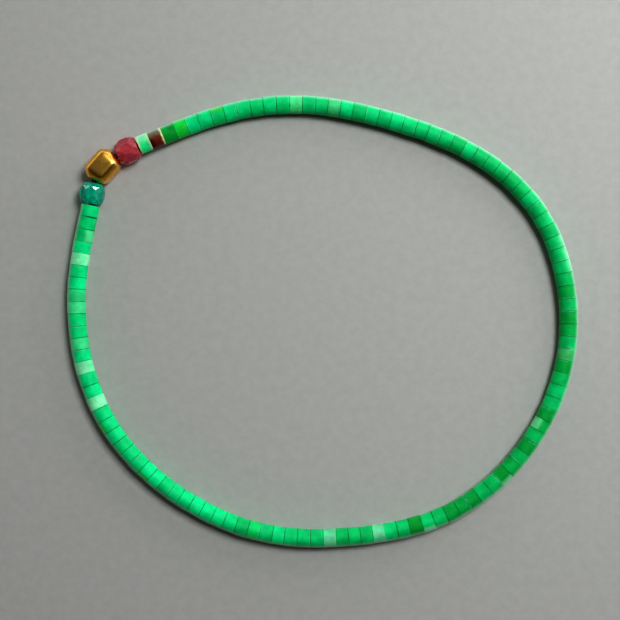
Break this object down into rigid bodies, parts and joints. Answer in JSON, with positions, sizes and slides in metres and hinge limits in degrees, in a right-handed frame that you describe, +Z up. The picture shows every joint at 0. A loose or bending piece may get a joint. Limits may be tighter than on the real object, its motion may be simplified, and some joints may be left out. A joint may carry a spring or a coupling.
{
  "type": "stretch bracelet of heishi beads",
  "caption": "Closed loop of short green stone tube beads on an elastic cord, with a brass nugget bead between a red and a teal cut glass bead. Lies flat.",
  "frame": {"origin": "on the surface that the bracelet lies on, under the middle of the loop", "axes": "+X along the loop's longer width, +Y along its shorter width, +Z up through the wrist opening"},
  "size_m": [0.0612, 0.0542, 0.0031],
  "materials": {
    "green_stone": "satin polished green stone",
    "pale_stone": "satin polished pale green stone",
    "mint_stone": "satin polished mint green stone with cream rims",
    "jasper_stone": "satin polished red-brown stone with pale green rims",
    "brass": "polished, slightly dulled",
    "red_glass": "cut crimson glass",
    "teal_glass": "cut teal green glass"
  },
  "bodies": {
    "root": {"green_heishi_string": "green_stone", "pale_heishi_1": "pale_stone", "pale_heishi_2": "pale_stone", "pale_heishi_3": "pale_stone", "pale_heishi_4": "pale_stone", "pale_heishi_5": "pale_stone", "mint_heishi": "mint_stone", "jasper_heishi": "jasper_stone", "brass_nugget_bead": "brass", "red_glass_bead": "red_glass", "teal_glass_bead": "teal_glass"}
  },
  "joints": []
}
